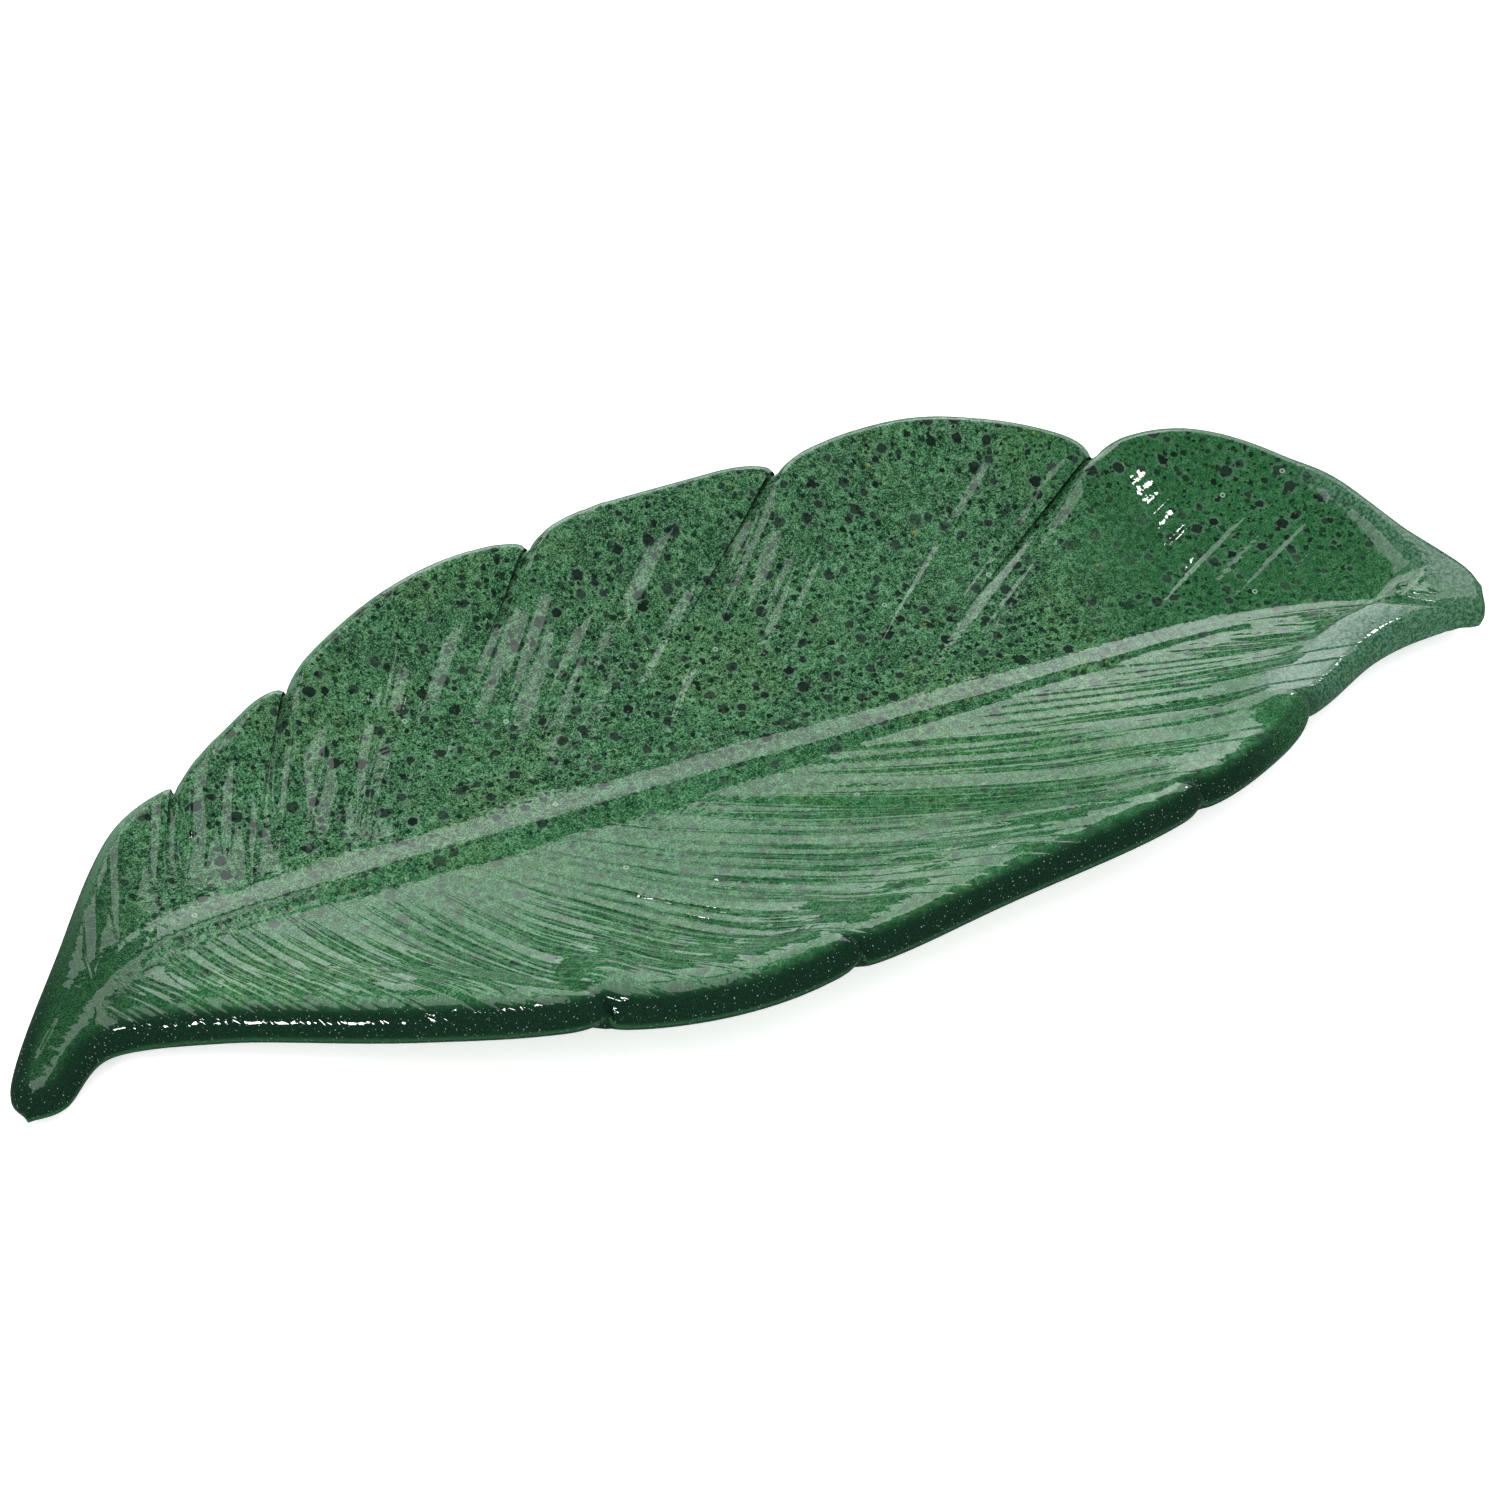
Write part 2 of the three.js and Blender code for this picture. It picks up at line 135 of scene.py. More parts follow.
FOOT_CENTRE = (9, 8)
FOOT_BASE = 2.3
FOOT_ROUND = 0.8  # rounding of the ring's lower edges
FOOT_ROOT = 2.5  # the ring's root reaches this far into the leaf's wall

# Fineness of the visible mesh
LINE_SPACING = 0.62
LEAST_LINES = 8  # of a lobe
OUTLINE_SAMPLES = 400  # points that a lobe's outline is measured on
TANGENT_STEP = 1e-3  # in control points
FLOOR_RINGS = np.linspace(0, 1, 28) ** 1.15
LIP_RINGS = np.sin(np.linspace(0, math.pi / 2, 10))[1:]
LIP_RINGS_REACH = 1.5  # widths of the crest
LIP_RINGS_MOST = 0.6  # of a line
UNDER_LIP_RINGS = np.sin(np.linspace(math.pi / 2, 0, 6))[1:]
UNDER_RINGS = np.linspace(1, 0, 9)[1:]
PATH_SPACING = 0.1
FOOT_STATIONS = 240
FOOT_ROUND_RINGS = 5
FOOT_SHARP = 60  # degrees; edges that turn more are shaded sharp

# Camera: the photograph's view, in metres and degrees
CAMERA_AZIMUTH = -22
CAMERA_ELEVATION = 46
CAMERA_DISTANCE = 1.09
CAMERA_TARGET = Vector((-0.0027, -0.0056, 0.0218))
FRAME_WIDTH_AT_TARGET = 0.425
SENSOR = 36


# Plan curves

def smoothstep(value, low, high):
    share = np.clip((value - low) / (high - low), 0, 1)
    return share * share * (3 - 2 * share)


def mix(a, b, share):
    return a + (b - a) * share


def midrib_y(x):
    stem = np.maximum(0, (STEM_BEND_START - x) / STEM_BEND_SPAN)
    tip = np.maximum(0, (x - TIP_BEND_START) / TIP_BEND_SPAN)
    return MIDRIB_Y - STEM_BEND_SIDE * stem**3 - TIP_BEND_SIDE * tip**2


def from_midrib(points):
    """Sideways distance from the midrib, square to it."""
    x, y = points[..., 0], points[..., 1]
    slope = midrib_y(x + 0.5) - midrib_y(x - 0.5)
    return np.abs(y - midrib_y(x)) / np.hypot(1, slope)


def quarter_round(distance, reach):
    near = np.clip(1 - distance / reach, 0, 1)
    return 1 - np.sqrt(1 - near * near)


def catmull_rom(points, places):
    """Points of a Catmull-Rom curve at places counted in control points."""
    control = np.array(points, float)
    ends = 2 * control[[0, -1]] - control[[1, -2]]
    padded = np.vstack([ends[:1], control, ends[1:]])
    i = np.clip(np.floor(places).astype(int), 0, len(control) - 2)
    t = (places - i)[:, None]
    p0, p1, p2, p3 = padded[i], padded[i + 1], padded[i + 2], padded[i + 3]
    v1, v2 = (p2 - p0) / 2, (p3 - p1) / 2
    return (2 * p1 - 2 * p2 + v1 + v2) * t**3 + (3 * p2 - 3 * p1 - 2 * v1 - v2) * t**2 + v1 * t + p1


def run_lengths(points):
    steps = np.hypot(*np.diff(points[:, :2], axis=0).T)
    return np.concatenate([[0], np.cumsum(steps)])


def step_share(run, length, shoulder_share, is_first, is_last):
    """Share of a lobe's step: a crease, a shoulder past it, then a slow climb to the next crease."""
    share = run / length
    if is_first:
        return share**2
    fall = 1 - smoothstep(run, 0, CREASE)
    shoulder = shoulder_share * smoothstep(run, CREASE, LOBE_SHOULDER)
    rest = 1 - smoothstep(share, *LAST_LOBE_FADE) if is_last else 1
    climb = 0 if is_last else (1 - shoulder_share) * share**2
    return fall + shoulder * rest + climb


def barb_lines(edge):
    """One row per barb line of a side: its ends at the rim and the midrib, and what its lobe gives it."""
    last = len(edge["points"]) - 1
    stops = [(0, 0, 1, 1, END_FADE), *edge["notches"], (last, 0, 1, 1, END_FADE)]
    rims, feet, steps, fades, lobes, crease_shades = [], [], [], [], [], []
    for lobe, (start, end) in enumerate(zip(stops, stops[1:])):
        places = np.linspace(start[0], end[0], OUTLINE_SAMPLES)
        runs = run_lengths(catmull_rom(edge["points"], places))
        length = runs[-1]
        run = np.linspace(0, length, max(LEAST_LINES, round(length / LINE_SPACING)) + 1)
        if lobe > 0:
            run = run[1:]
        place = np.interp(run, runs, places)
        spot = catmull_rom(edge["points"], place)
        ahead = catmull_rom(edge["points"], np.minimum(place + TANGENT_STEP, last))
        behind = catmull_rom(edge["points"], np.maximum(place - TANGENT_STEP, 0))
        tangent = (ahead - behind)[:, :2]
        outward = np.column_stack([-tangent[:, 1], tangent[:, 0]]) * edge["outward"]
        outward /= np.hypot(*outward.T)[:, None]
        dip = start[1] * quarter_round(run, start[3]) + end[1] * quarter_round(length - run, end[2])
        rims.append(spot[:, :2] - outward * dip[:, None])
        feet.append(np.column_stack([spot[:, 2], midrib_y(spot[:, 2])]))
        share = step_share(run, length, edge["shoulder_share"], lobe == 0, lobe + 2 == len(stops))
        steps.append(edge["lobe_step"] * share)
        fades.append(mix(start[4], end[4], smoothstep(run, 0, length)))
        lobes.append(np.full(len(run), lobe))
        # painted shade that fades from each crease into the lobe past it
        crease_shades.append(np.exp(-run / CREASE_SHADE_WIDTH) if lobe else np.zeros(len(run)))
    lines = {
        "rim": np.vstack(rims),
        "foot": np.vstack(feet),
        "step": np.concatenate(steps),
        "fade": np.concatenate(fades),
        "lobe": np.concatenate(lobes),
        "crease_shade": np.concatenate(crease_shades),
    }
    wave = 0.5 - 0.5 * np.cos(2 * math.pi * lines["foot"][:, 0] / BARB_PITCH)
    lines["barb"] = edge["barb_height"] * wave
    return lines


def distance_to_path(points, path):
    """Distance of each point from a path, through a tree of close points along it."""
    runs = run_lengths(path)
    places = np.arange(0, runs[-1], PATH_SPACING)
    dense = np.column_stack([np.interp(places, runs, path[:, 0]), np.interp(places, runs, path[:, 1])])
    samples = np.vstack([dense, path])
    tree = kdtree.KDTree(len(samples))
    for i, (x, y) in enumerate(samples):
        tree.insert((x, y, 0), i)
    tree.balance()
    flat = points.reshape(-1, 2)
    return np.array([tree.find((x, y, 0))[2] for x, y in flat]).reshape(points.shape[:-1])


# Surface heights

def add_rim_sizes(edge, lines, midrib):
    climb = RIM_RISE * (distance_to_path(lines["rim"], midrib) / RIM_RISE_AT) ** RIM_RISE_POWER
    wide = smoothstep(lines["rim"][:, 0], *edge["widening"])
    crisp = smoothstep(lines["rim"][:, 0], *edge["crisp"])
    floor_climb = smoothstep(lines["foot"][:, 0], TIP_FLOOR_END, TIP_FLAT_START)
    lines["floor"] = FLOOR_HEIGHT + TIP_BAND_RISE * floor_climb
    lines["crest"] = FLOOR_HEIGHT + np.hypot(climb, TIP_BAND_RISE * np.sqrt(crisp))
    side_lip = mix(STEM_LIP_WIDTH, edge["lip_width"], smoothstep(lines["rim"][:, 0], *STEM_LIP_RANGE))
    lines["lip_width"] = mix(side_lip, TIP_LIP_WIDTH, crisp)
    lines["crest_width"] = mix(edge["crest_width"], TIP_BAND_WIDTH, wide)
    lines["crest_round"] = mix(CREST_ROUND, TIP_BAND_ROUND, crisp)
    lines["crisp"] = crisp
    lines["carved"] = 1 - smoothstep(lines["rim"][:, 0], *TIP_PLAIN_RANGE)
    lines["half_width"] = distance_to_path(lines["foot"], lines["rim"])
    length = np.hypot(*(lines["rim"] - lines["foot"]).T)
    lines["lip_share"] = np.minimum(LIP_RINGS_REACH * lines["crest_width"] / length, LIP_RINGS_MOST)


def barb_points(lines, shares):
    """Plan points along every line; shares has one row per line and one column per ring."""
    foot, rim = lines["foot"][:, None], lines["rim"][:, None]
    bend = foot + (rim - foot) * BARB_SWEEP
    share = shares[..., None]
    return foot * (1 - share) ** 2 + 2 * bend * share * (1 - share) + rim * share**2


def sheet_heights(points, lines, whole_outline, strokes):
    """Upper and lower heights of the leaf at plan points, and masks of its lip, of the painted shade behind
    its creases and of its tip band.
    """
    column = {key: values[:, None] for key, values in lines.items() if values.ndim == 1}
    inset = distance_to_path(points, lines["rim"]) - column["crest_width"]
    inside = (inset + np.hypot(inset, column["crest_round"])) / 2
    span = np.maximum(column["half_width"] - column["crest_width"], 1)
    out = np.clip(1 - inside / span, 0, 1)
    bowl = (out ** BOWL_POWERS[0] + out ** BOWL_POWERS[1]) / 2
    recess = mix(out**TIP_CLIMB_STEP, out, TIP_CLIMB_EVEN)
    turn = mix(bowl, recess, column["crisp"])
    sheet = column["floor"] + (column["crest"] - column["floor"]) * turn
    sheet = sheet + column["step"] * out ** column["fade"]

    along = smoothstep(points[..., 0], STEM_BEND_START - STEM_BEND_SPAN, TIP_FLAT_START)
    rib_half = mix(RIB_HALF_WIDTH_AT_STEM, RIB_HALF_WIDTH_AT_TIP, along)
    rib_side = 0.5 + 0.5 * np.cos(math.pi * np.minimum(from_midrib(points) / rib_half, 1))
    rib_end = 1 - smoothstep(points[..., 0], TIP_FLOOR_END, TIP_FLAT_START)
    rib_start = smoothstep(points[..., 0], *STEM_RIB_RANGE)
    rib = RIB_STEEPNESS * rib_half * rib_side * rib_end * rib_start

    barb = column["barb"] * smoothstep(out, *BARB_GROWTH) * (1 - smoothstep(out, *BARB_FADE))
    carved = barb + column["carved"] * carving(column["across"], out, strokes)
    edge = np.clip(distance_to_path(points, whole_outline) / column["lip_width"], 0, 1)
    rounding = (1 - (1 - edge) ** LIP_FULLNESS) ** (1 / LIP_FULLNESS)
    top = sheet + rib + carved - LIP_DROP * (1 - rounding)
    equator = sheet + rib - LIP_DROP
    under = mix(equator, sheet - WALL - WALL_GAIN * out**2, rounding)
    # painted shade behind each crease, growing towards the rim
    crease_shade = column["crease_shade"] * smoothstep(out, *CREASE_SHADE_GROWTH)
    band = column["crisp"] * smoothstep(out, *BAND_GROWTH)
    return {"top": top, "under": under, "lip": 1 - edge, "crease_shade": crease_shade, "band": band}


# Carving: pointed cuts along the barbs, each a tilted facet between two short steps

CARVED_AT = 0.6  # share of a barb at which distances across the barbs are measured
CARVED_STEP = 0.01  # share of a barb that gives its direction there
STROKE_SCATTER = (0.15, 0.85)  # share of its pitch in which a stroke lies
STROKE_TAPER = 0.35  # share of the way out over which a stroke grows from its point to its full width
STROKE_POINT = 0.01  # width of the point, as a share of the full width
STROKE_FADE = 0.15  # share of the way out over which a stroke dies away past its end
STROKE_DRIFT = 2.0  # most that a stroke strays across the barbs, in millimetres
FACET_SHARE = 0.8  # share of a stroke's half width that is facet, up to the step at its side
STEM_PLAIN_END = -188  # the stem has no strokes up to this x
TIP_PLAIN_RANGE = (212, 222)  # the strokes die away over this much of the tip
# Starts and ends are shares of the way out. For each lobe from the stem to the tip: pitch across the barbs,
# half widths, in millimetres, and slopes of the facets
STROKES = {
    "back": {
        "seed": 11,
        "start": (0.08, 0.25),
        "end": (0.65, 0.92),
        "lobes": [
            (7.0, (1.6, 2.8), (0.15, 0.22)),
            (7.0, (1.6, 3.0), (0.16, 0.23)),
            (9.5, (2.0, 3.8), (0.19, 0.26)),
            (9.5, (2.0, 3.8), (0.21, 0.28)),
            (11.0, (1.4, 2.6), (0.23, 0.30)),
            (12.0, (1.8, 2.6), (0.07, 0.11)),
        ],
    },
    "front": {
        "seed": 23,
        "start": (0.1, 0.45),
        "end": (0.65, 0.95),
        "lobes": [
            (3.4, (0.6, 1.5), (-0.22, 0.06)),
            (3.4, (0.6, 1.5), (-0.22, 0.06)),
            (3.8, (0.6, 1.7), (-0.24, 0.06)),
            (7.5, (1.0, 2.2), (-0.28, -0.04)),
            (9.0, (2.0, 3.4), (-0.30, -0.14)),
        ],
    },
    "grooves": {
        "seed": 37,
        "start": (0.0, 0.18),
        "end": (0.60, 0.92),
        "lobes": [
            (4.4, (0.8, 1.3), (-0.60, -0.35)),
            (4.4, (0.8, 1.3), (-0.60, -0.35)),
            (5.0, (0.8, 1.3), (-0.60, -0.35)),
            (16.0, (0.8, 1.3), (-0.60, -0.35)),
            (40.0, (0.8, 1.2), (-0.60, -0.35)),
        ],
    },
    "blades": {
        "seed": 41,
        "start": (0.40, 0.62),
        "end": (0.80, 0.92),
        "lobes": [
            (7.0, (1.0, 1.9), (0.12, 0.28)),
            (7.0, (1.0, 1.9), (0.12, 0.28)),
            (8.0, (1.0, 1.9), (0.12, 0.28)),
            (12.0, (1.0, 1.9), (0.12, 0.28)),
            (60.0, (1.0, 1.9), (0.12, 0.28)),
        ],
    },
}


def add_stroke_places(lines):
    """Distance run across the barbs from the stem's end to each line."""
    count = len(lines["rim"])
    shares = np.tile((CARVED_AT, CARVED_AT + CARVED_STEP), (count, 1))
    here, ahead = np.moveaxis(barb_points(lines, shares), 1, 0)
    along = (ahead - here) / np.hypot(*(ahead - here).T)[:, None]
    step = np.diff(here, axis=0)
    gaps = np.abs(step[:, 0] * along[1:, 1] - step[:, 1] * along[1:, 0])
    lines["across"] = np.concatenate([[0], np.cumsum(gaps)])


def stroke_list(kind, lines):
    """Strokes of one kind, spread over the lobes of a side."""
    draw = np.random.default_rng(kind["seed"])
    strokes = []
    for lobe, (pitch, halves, slopes) in enumerate(kind["lobes"]):
        inside = lines["across"][(lines["lobe"] == lobe) & (lines["rim"][:, 0] > STEM_PLAIN_END)]
        count = max(1, round((inside[-1] - inside[0]) / pitch))
        for k in range(count):
            share = (k + draw.uniform(*STROKE_SCATTER)) / count
            strokes.append({
                "place": mix(inside[0], inside[-1], share),
                "half": draw.uniform(*halves),
                "slope": draw.uniform(*slopes),
                "start": draw.uniform(*kind["start"]),
                "end": draw.uniform(*kind["end"]),
                "drift": draw.uniform(-STROKE_DRIFT, STROKE_DRIFT),
            })
    return strokes


def carving(across, out, strokes):
    """Height that the strokes add at points given by their distance across the barbs and their way out."""
    height = np.zeros(out.shape)
    for stroke in strokes:
        rows = np.abs(across[:, 0] - stroke["place"]) < stroke["half"] + STROKE_DRIFT
        where = out[rows]
        width = stroke["half"] * np.clip((where - stroke["start"]) / STROKE_TAPER, STROKE_POINT, 1)
        fade = 1 - smoothstep(where, stroke["end"], stroke["end"] + STROKE_FADE)
        side = (across[rows] - stroke["place"] - stroke["drift"] * (where - CARVED_AT)) / width
        facet = side * (1 - smoothstep(np.abs(side), FACET_SHARE, 1))
        height[rows] += width * stroke["slope"] * fade * facet
    return height


# Leaf mesh

def line_grid(lines, whole_outline, strokes):
    """Vertices of every line, over the top from the midrib to the rim and back underneath."""
    lip_share = lines["lip_share"][:, None]
    lip_start = 1 - lip_share
    top_shares = np.hstack([FLOOR_RINGS * lip_start, lip_start + LIP_RINGS * lip_share])
    under_shares = np.hstack([lip_start + UNDER_LIP_RINGS * lip_share, UNDER_RINGS * lip_start])
    top_points = barb_points(lines, top_shares)
    under_points = barb_points(lines, under_shares)
    above = sheet_heights(top_points, lines, whole_outline, strokes)
    below = sheet_heights(under_points, lines, whole_outline, strokes)
    points = np.concatenate([top_points, under_points], axis=1)
    heights = np.concatenate([above["top"], below["under"]], axis=1)
    shades = {key: np.concatenate([above[key], below[key]], axis=1) for key in ("lip", "crease_shade", "band")}
    shades["under"] = np.concatenate([np.zeros_like(above["top"]), np.ones_like(below["under"])], axis=1)
    return np.dstack([points, heights]), shades


def lace(left, right, positions):
    """Triangles between two chains of vertices that run the same way."""

    def gap(i, j):
        """Length of a step between the chains, endless where a chain has run out."""
        if i == len(left) or j == len(right):
            return math.inf
        return math.dist(positions[left[i]], positions[right[j]])

    faces, i, j = [], 0, 0
    while i + 1 < len(left) or j + 1 < len(right):
        if gap(i + 1, j) <= gap(i, j + 1):
            faces.append((left[i], right[j], left[i + 1]))
            i += 1
        else:
            faces.append((left[i], right[j], right[j + 1]))
            j += 1
    return faces


def strip(numbers, first, last, flip):
    """Quads between neighbouring lines, from one ring to another."""
    a, b = numbers[:-1, first:last], numbers[:-1, first + 1:last + 1]
    c, d = numbers[1:, first + 1:last + 1], numbers[1:, first:last]
    corners = (a, b, c, d) if flip else (a, d, c, b)
    return np.stack(corners, axis=-1).reshape(-1, 4).tolist()


def build_leaf():
    """The leaf without its foot ring, and the shift that puts it where its solid is."""
    back, front = barb_lines(BACK_EDGE), barb_lines(FRONT_EDGE)
    whole_outline = np.vstack([back["rim"], front["rim"][-2::-1]])
    for edge, lines in ((BACK_EDGE, back), (FRONT_EDGE, front)):
        add_rim_sizes(edge, lines, back["foot"])
        add_stroke_places(lines)
    back_grid, back_shades = line_grid(back, whole_outline, stroke_list(STROKES["back"], back))
    front_strokes = []
    for key in ("front", "grooves", "blades"):
        front_strokes += stroke_list(STROKES[key], front)
    front_grid, front_shades = line_grid(front, whole_outline, front_strokes)

    rings = back_grid.shape[1]
    back_count = back_grid.shape[0] * rings
    back_numbers = np.arange(back_count).reshape(-1, rings)
    front_numbers = back_count + np.arange((front_grid.shape[0] - 2) * rings).reshape(-1, rings)
    front_numbers = np.vstack([back_numbers[:1], front_numbers, back_numbers[-1:]])
    positions = np.vstack([back_grid.reshape(-1, 3), front_grid[1:-1].reshape(-1, 3)])
    shades = {}
    for key, values in back_shades.items():
        shades[key] = np.concatenate([values.ravel(), front_shades[key][1:-1].ravel()])

    faces = strip(back_numbers, 0, rings - 1, False)
    faces += strip(front_numbers, 1, rings - 2, True)
    faces += lace(back_numbers[:, 0], front_numbers[:, 1], positions)
    faces += lace(front_numbers[:, -2], back_numbers[:, -1], positions)

    low, high = positions.min(0), positions.max(0)
    cad_low, cad_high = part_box("leaf_body")
    shift = np.array((cad_low + cad_high) / 2) / MM - (low + high) / 2
    shift[2] = 0
    mesh = bpy.data.meshes.new("leaf")
    mesh.from_pydata(((positions + shift) * MM).tolist(), [], faces)
    for key, values in shades.items():
        mesh.attributes.new(key, "FLOAT", "POINT").data.foreach_set("value", values.astype(np.float32))
    mesh.polygons.foreach_set("use_smooth", np.ones(len(mesh.polygons), bool))
    leaf = bpy.data.objects.new("leaf", mesh)
    bpy.context.scene.collection.objects.link(leaf)
    return leaf, shift


# Foot ring

def underside_heights(leaf, points):
    """Height of the leaf's underside at plan points, in millimetres."""
    count = len(leaf.data.vertices)
    under = np.zeros(count, np.float32)
    leaf.data.attributes["under"].data.foreach_get("value", under)
    places = np.zeros(3 * count, np.float32)
    leaf.data.vertices.foreach_get("co", places)
    below = places.reshape(-1, 3)[under > 0.5] / MM
    tree = kdtree.KDTree(len(below))
    for i, (x, y, _) in enumerate(below):
        tree.insert((x, y, 0), i)
    tree.balance()
    return np.array([below[tree.find((x, y, 0))[1], 2] for x, y in points])


def build_foot(leaf, shift):
    """The oval ring that the dish stands on, from its rounded lower edges to inside the leaf's wall."""
    turn = np.linspace(0, math.pi / 2, FOOT_ROUND_RINGS)
    edge_inset, edge_height = FOOT_ROUND * (1 - np.cos(turn)), FOOT_ROUND * (1 - np.sin(turn))
    insets = np.concatenate([[0], edge_inset, FOOT_RING_WIDTH - edge_inset[::-1], [FOOT_RING_WIDTH]])
    heights = FOOT_BASE + np.concatenate([[0], edge_height, edge_height[::-1], [0]])
    angles = np.linspace(0, 2 * math.pi, FOOT_STATIONS, endpoint=False)
    x = FOOT_CENTRE[0] + shift[0] + np.outer(np.cos(angles), FOOT_LENGTH / 2 - insets)
    y = FOOT_CENTRE[1] + shift[1] + np.outer(np.sin(angles), FOOT_WIDTH / 2 - insets)
    z = np.tile(heights, (FOOT_STATIONS, 1))
    for root in (0, -1):
        z[:, root] = underside_heights(leaf, np.column_stack([x[:, root], y[:, root]])) + FOOT_ROOT

    rings = len(insets)
    numbers = np.arange(FOOT_STATIONS * rings).reshape(-1, rings)
    around, across = np.roll(numbers, -1, axis=0), np.roll(numbers, -1, axis=1)
    corners = np.stack([numbers, across, np.roll(around, -1, axis=1), around], axis=-1)
    places = np.dstack([x, y, z]).reshape(-1, 3) * MM
    mesh = bpy.data.meshes.new("foot")
    mesh.from_pydata(places.tolist(), [], corners.reshape(-1, 4).tolist())
    foot = bpy.data.objects.new("foot", mesh)
    bpy.context.scene.collection.objects.link(foot)
    return foot


def join_foot(leaf, foot):
    """Makes the leaf and its foot ring one closed body."""
    joining = leaf.modifiers.new("join_foot", "BOOLEAN")
    joining.operation = "UNION"
    joining.solver = "MANIFOLD"
    joining.object = foot
    whole = bpy.data.meshes.new_from_object(leaf.evaluated_get(bpy.context.evaluated_depsgraph_get()))
    leaf.modifiers.clear()
    whole.materials.clear()
    leaf.data = whole
    bpy.data.objects.remove(foot)
    whole.polygons.foreach_set("use_smooth", np.ones(len(whole.polygons), bool))
    whole.set_sharp_from_angle(angle=math.radians(FOOT_SHARP))


# Materials

class NodeTree:
    """Short calls for building one material's nodes."""

    def __init__(self, name):
        self.material = bpy.data.materials.new(name)
        self.material.use_nodes = True
        self.tree = self.material.node_tree
        self.shader = self.tree.nodes["Principled BSDF"]

    def add(self, kind, values=None, **settings):
        node = self.tree.nodes.new("ShaderNode" + kind)
        for key, value in settings.items():
            setattr(node, key, value)
        for key, value in (values or {}).items():
            self.feed(node.inputs[key], value)
        return node

    def feed(self, socket, value):
        if isinstance(value, bpy.types.NodeSocket):
            self.tree.links.new(value, socket)
        else:
            socket.default_value = value

    def shade(self, key, value):
        self.feed(self.shader.inputs[key], value)

    def math(self, operation, a, b=0.0):
        return self.add("Math", {0: a, 1: b}, operation=operation).outputs[0]

    def times(self, a, b):
        return self.math("MULTIPLY", a, b)

    def vector(self, operation, values):
        return self.add("VectorMath", values, operation=operation).outputs[0]

    def blend(self, share, a, b):
        return self.add("Mix", {0: share, 6: a, 7: b}, data_type="RGBA").outputs[2]

    def coat(self, colour, paint, mask, strength=1.0):
        """The colour, painted over where the mask is."""
        return self.blend(self.times(mask, strength), colour, paint)

    def between(self, value, none, full):
        """Zero up to none, one from full on, smooth between; none may be the higher of the two."""
        node = self.add("MapRange", {0: value, 1: none, 2: full}, interpolation_type="SMOOTHSTEP")
        return node.outputs[0]

    def ramp(self, share, start, end):
        """Start where the share is zero, end where it is one."""
        return self.add("MapRange", {0: share, 3: start, 4: end}).outputs[0]

    def attribute(self, name):
        return self.add("Attribute", attribute_name=name).outputs["Fac"]

    def noise(self, vector, scale, detail, roughness):
        values = {"Vector": vector, "Scale": scale, "Detail": detail, "Roughness": roughness}
        return self.add("TexNoise", values).outputs["Fac"]

    def cells(self, vector, scale, flat=True):
        values = {"Vector": vector, "Scale": scale}
        return self.add("TexVoronoi", values, feature="F1", voronoi_dimensions="2D" if flat else "3D")

    def millimetres(self):
        """Object coordinates in millimetres."""
        place = self.add("TexCoord").outputs["Object"]
        return self.vector("SCALE", {0: place, "Scale": 1 / MM})


# Glaze colours
DEEP = (0.005, 0.040, 0.013, 1)
MIDDLE = (0.028, 0.115, 0.045, 1)
PALE = (0.140, 0.285, 0.160, 1)
FRONT_DEEP = (0.007, 0.068, 0.018, 1)
FRONT_PALE = (0.090, 0.245, 0.120, 1)
OLIVE = (0.060, 0.130, 0.030, 1)
BLACK = (0.0025, 0.010, 0.006, 1)
ASH = (0.090, 0.145, 0.110, 1)
RIM_DARK = (0.003, 0.016, 0.008, 1)
STEM_GREEN = (0.012, 0.062, 0.020, 1)
SALT = (0.320, 0.440, 0.360, 1)
# Tip band: mottled glaze, its pale colour a painted reflection
BAND_DEEP = (0.014, 0.058, 0.030, 1)
BAND_PALE_SHEEN = (0.085, 0.178, 0.118, 1)
EDGE_REFLECTION = (0.170, 0.300, 0.205, 1)
OCHRE = (0.300, 0.230, 0.040, 1)
CLAY = (0.520, 0.400, 0.290, 1)

# Where the glaze's colour and the painted shade change on the leaf, in millimetres, from none to full
BACK_HALF_Y = (-30.0, 15.0)
LAST_LOBE_X = (95.0, 150.0)
SHADED_RIM_X = (175.0, 120.0)
STEM_X = (-165.0, -200.0)
CLAY_HEIGHT = (0.75, 0.45)  # over the foot ring's lower face

# Noises: scale to a millimetre, detail and roughness
CLOUD = (0.08, 4.0, 0.65)
DRIFT = (0.03, 3.0, 0.6)
MOTTLE = (0.42, 4.0, 0.7)
GRAIN = (2.1, 3.0, 0.7)
CRYSTALS = (1.0, 3.0, 0.7)
DENSITY = (0.035, 2.0, 0.5)
PEEL = (0.35, 1.5, 0.5)
WOBBLE = (0.9, 3.0, 0.5)
WOBBLE_REACH = 1.8  # millimetres from one extreme of the noise to the other
NOISE_MIDDLE = 0.5
RAGGEDNESS = 0.8  # how much the grain frays the edge of the rim's colour

